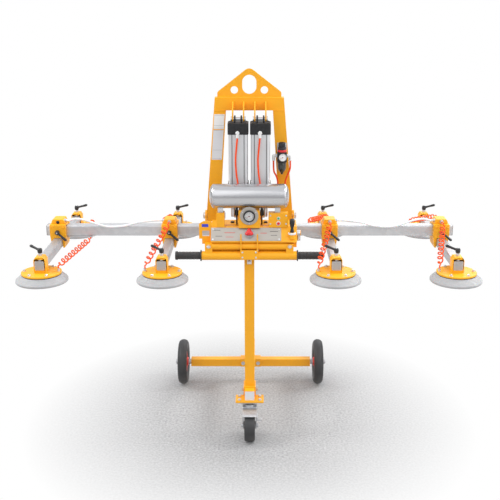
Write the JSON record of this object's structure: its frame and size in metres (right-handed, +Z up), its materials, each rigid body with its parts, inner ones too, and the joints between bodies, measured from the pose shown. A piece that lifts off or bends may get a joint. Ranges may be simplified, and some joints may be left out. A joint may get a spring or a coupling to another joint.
{
  "type": "glass panel lifter",
  "caption": "Pneumatic vacuum lifter for glass and panels: sliding suction pads on a spreader beam, a tilting crane mast and a wheeled transport stand.",
  "frame": {"origin": "on the floor, under the middle of the beam, at the bottom centre of the bounding box", "axes": "+Z up, +X along the beam to the operator's right, -Y towards the operator's side with the handles"},
  "size_m": [2.018, 0.984, 1.705],
  "materials": {
    "yellow_paint": "satin",
    "galvanised_steel": "brushed",
    "polished_aluminium": "polished",
    "chromed_rod": "polished",
    "black_plastic": "matte",
    "black_rubber": "matte",
    "grey_tyre": "matte",
    "red_tube": "gloss",
    "white_tube": "gloss",
    "red_plastic": "gloss"
  },
  "bodies": {
    "stand": {"base_spine": "yellow_paint", "axle_tube": "yellow_paint", "column": "yellow_paint", "stand_hardware": "galvanised_steel"},
    "rear_wheel_left": {"rear_wheel_left": "grey_tyre"},
    "rear_wheel_right": {"rear_wheel_right": "grey_tyre"},
    "caster": {"caster_fork": "galvanised_steel"},
    "caster_wheel": {"caster_wheel": "grey_tyre"},
    "caster_brake": {"caster_brake": "black_plastic"},
    "frame": {"main_beam": "galvanised_steel", "pivot_brackets": "yellow_paint", "console_body": "yellow_paint", "panel_plate": "galvanised_steel", "handle_bar": "yellow_paint", "hand_grips": "black_rubber", "air_tank": "polished_aluminium", "vacuum_gauge": "galvanised_steel", "vacuum_ejectors": "black_plastic"},
    "valve_lever": {"valve_lever": "black_plastic"},
    "stop_button": {"stop_button": "red_plastic"},
    "mast": {"mast_frame": "yellow_paint", "lifting_plate": "yellow_paint", "pivot_pins": "galvanised_steel", "air_regulator": "black_plastic", "air_tubes": "red_tube"},
    "regulator_knob": {"regulator_knob": "black_plastic"},
    "tilt_cylinders": {"tilt_cylinder_left": "polished_aluminium", "tilt_cylinder_right": "polished_aluminium"},
    "piston_rods": {"piston_rod_left": "chromed_rod", "piston_rod_right": "chromed_rod"},
    "carriage_left_outer": {"carriage_left_outer": "yellow_paint", "coil_hoses_left_outer": "red_tube"},
    "beam_lever_left_outer": {"beam_lever_left_outer": "black_plastic"},
    "front_pad_left_outer": {"front_pad_left_outer": "yellow_paint"},
    "front_lever_left_outer": {"front_lever_left_outer": "black_plastic"},
    "rear_pad_left_outer": {"rear_pad_left_outer": "yellow_paint"},
    "rear_lever_left_outer": {"rear_lever_left_outer": "black_plastic"},
    "carriage_left_inner": {"carriage_left_inner": "yellow_paint", "coil_hoses_left_inner": "red_tube", "vacuum_hose_left": "white_tube"},
    "beam_lever_left_inner": {"beam_lever_left_inner": "black_plastic"},
    "front_pad_left_inner": {"front_pad_left_inner": "yellow_paint"},
    "front_lever_left_inner": {"front_lever_left_inner": "black_plastic"},
    "rear_pad_left_inner": {"rear_pad_left_inner": "yellow_paint"},
    "rear_lever_left_inner": {"rear_lever_left_inner": "black_plastic"},
    "carriage_right_inner": {"carriage_right_inner": "yellow_paint", "coil_hoses_right_inner": "red_tube", "vacuum_hose_right": "white_tube"},
    "beam_lever_right_inner": {"beam_lever_right_inner": "black_plastic"},
    "front_pad_right_inner": {"front_pad_right_inner": "yellow_paint"},
    "front_lever_right_inner": {"front_lever_right_inner": "black_plastic"},
    "rear_pad_right_inner": {"rear_pad_right_inner": "yellow_paint"},
    "rear_lever_right_inner": {"rear_lever_right_inner": "black_plastic"},
    "carriage_right_outer": {"carriage_right_outer": "yellow_paint", "coil_hoses_right_outer": "red_tube"},
    "beam_lever_right_outer": {"beam_lever_right_outer": "black_plastic"},
    "front_pad_right_outer": {"front_pad_right_outer": "yellow_paint"},
    "front_lever_right_outer": {"front_lever_right_outer": "black_plastic"},
    "rear_pad_right_outer": {"rear_pad_right_outer": "yellow_paint"},
    "rear_lever_right_outer": {"rear_lever_right_outer": "black_plastic"}
  },
  "joints": [
    {"name": "rear_wheel_left_spin", "type": "hinge", "parent": "stand", "child": "rear_wheel_left", "pos_m": [-0.363, 0.35, 0.12], "axis": [1, 0, 0], "continuous": true},
    {"name": "rear_wheel_right_spin", "type": "hinge", "parent": "stand", "child": "rear_wheel_right", "pos_m": [0.363, 0.35, 0.12], "axis": [1, 0, 0], "continuous": true},
    {"name": "caster_swivel", "type": "hinge", "parent": "stand", "child": "caster", "pos_m": [0, -0.236, 0.165], "axis": [0, 0, 1], "continuous": true},
    {"name": "caster_wheel_spin", "type": "hinge", "parent": "caster", "child": "caster_wheel", "pos_m": [0, -0.27, 0.075], "axis": [1, 0, 0], "continuous": true},
    {"name": "caster_brake_press", "type": "hinge", "parent": "caster", "child": "caster_brake", "pos_m": [0.036, -0.254, 0.119], "axis": [1, 0, 0], "range_deg": [0, 18]},
    {"name": "frame_lift_off", "type": "slide", "parent": "stand", "child": "frame", "axis": [0, 0, 1], "range_m": [0, 0.25]},
    {"name": "mast_tilt", "type": "hinge", "parent": "frame", "child": "mast", "pos_m": [0, 0.012, 1.025], "axis": [-1, 0, 0], "range_deg": [0, 90]},
    {"name": "cylinder_swing", "type": "hinge", "parent": "mast", "child": "tilt_cylinders", "pos_m": [0, -0.066, 1.49], "axis": [1, 0, 0], "range_deg": [-0.5, 6.1]},
    {"name": "rod_extend", "type": "slide", "parent": "tilt_cylinders", "child": "piston_rods", "axis": [0, 0, -1], "range_m": [0, 0.107]},
    {"name": "regulator_knob_turn", "type": "hinge", "parent": "mast", "child": "regulator_knob", "pos_m": [0.148, -0.049, 1.36], "axis": [0, 0, 1], "range_deg": [-180, 180]},
    {"name": "valve_lever_tilt", "type": "hinge", "parent": "frame", "child": "valve_lever", "pos_m": [0.19, -0.245, 1.011], "axis": [1, 0, 0], "range_deg": [-14, 14], "stiffness_Nm_per_rad": 0.6},
    {"name": "stop_button_press", "type": "slide", "parent": "frame", "child": "stop_button", "axis": [0, 0.8147, -0.5799], "range_m": [0, 0.004], "stiffness_N_per_m": 600},
    {"name": "left_outer_carriage_slide", "type": "slide", "parent": "frame", "child": "carriage_left_outer", "axis": [1, 0, 0], "range_m": [-0.015, 0.15], "deforming": ["vacuum_hose_left"]},
    {"name": "left_outer_beam_lever_turn", "type": "hinge", "parent": "carriage_left_outer", "child": "beam_lever_left_outer", "pos_m": [-0.897, -0.0504, 0.96], "axis": [0, 1, 0], "range_deg": [-60, 6]},
    {"name": "left_outer_front_pad_slide", "type": "slide", "parent": "carriage_left_outer", "child": "front_pad_left_outer", "axis": [0, 1, 0], "range_m": [0, 0.16], "deforming": ["coil_hoses_left_outer"]},
    {"name": "left_outer_front_lever_turn", "type": "hinge", "parent": "front_pad_left_outer", "child": "front_lever_left_outer", "pos_m": [-0.897, -0.38, 0.9604], "axis": [0, 0, 1], "range_deg": [-60, 60]},
    {"name": "left_outer_rear_pad_slide", "type": "slide", "parent": "carriage_left_outer", "child": "rear_pad_left_outer", "axis": [0, -1, 0], "range_m": [0, 0.16], "deforming": ["coil_hoses_left_outer"]},
    {"name": "left_outer_rear_lever_turn", "type": "hinge", "parent": "rear_pad_left_outer", "child": "rear_lever_left_outer", "pos_m": [-0.897, 0.38, 0.9604], "axis": [0, 0, 1], "range_deg": [-60, 60]},
    {"name": "left_inner_carriage_slide", "type": "slide", "parent": "frame", "child": "carriage_left_inner", "axis": [1, 0, 0], "range_m": [-0.1, 0], "deforming": ["vacuum_hose_left"]},
    {"name": "left_inner_beam_lever_turn", "type": "hinge", "parent": "carriage_left_inner", "child": "beam_lever_left_inner", "pos_m": [-0.375, -0.0504, 0.96], "axis": [0, 1, 0], "range_deg": [-60, 6]},
    {"name": "left_inner_front_pad_slide", "type": "slide", "parent": "carriage_left_inner", "child": "front_pad_left_inner", "axis": [0, 1, 0], "range_m": [0, 0.085], "deforming": ["coil_hoses_left_inner"]},
    {"name": "left_inner_front_lever_turn", "type": "hinge", "parent": "front_pad_left_inner", "child": "front_lever_left_inner", "pos_m": [-0.375, -0.38, 0.9604], "axis": [0, 0, 1], "range_deg": [-60, 60]},
    {"name": "left_inner_rear_pad_slide", "type": "slide", "parent": "carriage_left_inner", "child": "rear_pad_left_inner", "axis": [0, -1, 0], "range_m": [0, 0.16], "deforming": ["coil_hoses_left_inner"]},
    {"name": "left_inner_rear_lever_turn", "type": "hinge", "parent": "rear_pad_left_inner", "child": "rear_lever_left_inner", "pos_m": [-0.375, 0.38, 0.9604], "axis": [0, 0, 1], "range_deg": [-60, 60]},
    {"name": "right_inner_carriage_slide", "type": "slide", "parent": "frame", "child": "carriage_right_inner", "axis": [1, 0, 0], "range_m": [0, 0.1], "deforming": ["vacuum_hose_right"]},
    {"name": "right_inner_beam_lever_turn", "type": "hinge", "parent": "carriage_right_inner", "child": "beam_lever_right_inner", "pos_m": [0.375, -0.0504, 0.96], "axis": [0, 1, 0], "range_deg": [-60, 6]},
    {"name": "right_inner_front_pad_slide", "type": "slide", "parent": "carriage_right_inner", "child": "front_pad_right_inner", "axis": [0, 1, 0], "range_m": [0, 0.085], "deforming": ["coil_hoses_right_inner"]},
    {"name": "right_inner_front_lever_turn", "type": "hinge", "parent": "front_pad_right_inner", "child": "front_lever_right_inner", "pos_m": [0.375, -0.38, 0.9604], "axis": [0, 0, 1], "range_deg": [-60, 60]},
    {"name": "right_inner_rear_pad_slide", "type": "slide", "parent": "carriage_right_inner", "child": "rear_pad_right_inner", "axis": [0, -1, 0], "range_m": [0, 0.16], "deforming": ["coil_hoses_right_inner"]},
    {"name": "right_inner_rear_lever_turn", "type": "hinge", "parent": "rear_pad_right_inner", "child": "rear_lever_right_inner", "pos_m": [0.375, 0.38, 0.9604], "axis": [0, 0, 1], "range_deg": [-60, 60]},
    {"name": "right_outer_carriage_slide", "type": "slide", "parent": "frame", "child": "carriage_right_outer", "axis": [1, 0, 0], "range_m": [-0.15, 0.015], "deforming": ["vacuum_hose_right"]},
    {"name": "right_outer_beam_lever_turn", "type": "hinge", "parent": "carriage_right_outer", "child": "beam_lever_right_outer", "pos_m": [0.897, -0.0504, 0.96], "axis": [0, 1, 0], "range_deg": [-60, 6]},
    {"name": "right_outer_front_pad_slide", "type": "slide", "parent": "carriage_right_outer", "child": "front_pad_right_outer", "axis": [0, 1, 0], "range_m": [0, 0.16], "deforming": ["coil_hoses_right_outer"]},
    {"name": "right_outer_front_lever_turn", "type": "hinge", "parent": "front_pad_right_outer", "child": "front_lever_right_outer", "pos_m": [0.897, -0.38, 0.9604], "axis": [0, 0, 1], "range_deg": [-60, 60]},
    {"name": "right_outer_rear_pad_slide", "type": "slide", "parent": "carriage_right_outer", "child": "rear_pad_right_outer", "axis": [0, -1, 0], "range_m": [0, 0.16], "deforming": ["coil_hoses_right_outer"]},
    {"name": "right_outer_rear_lever_turn", "type": "hinge", "parent": "rear_pad_right_outer", "child": "rear_lever_right_outer", "pos_m": [0.897, 0.38, 0.9604], "axis": [0, 0, 1], "range_deg": [-60, 60]}
  ],
  "couplings": [
    {"joint": "cylinder_swing", "follows": "mast_tilt", "ratio": 0.061942},
    {"joint": "rod_extend", "follows": "mast_tilt", "m_per_rad": 0.067215}
  ]
}
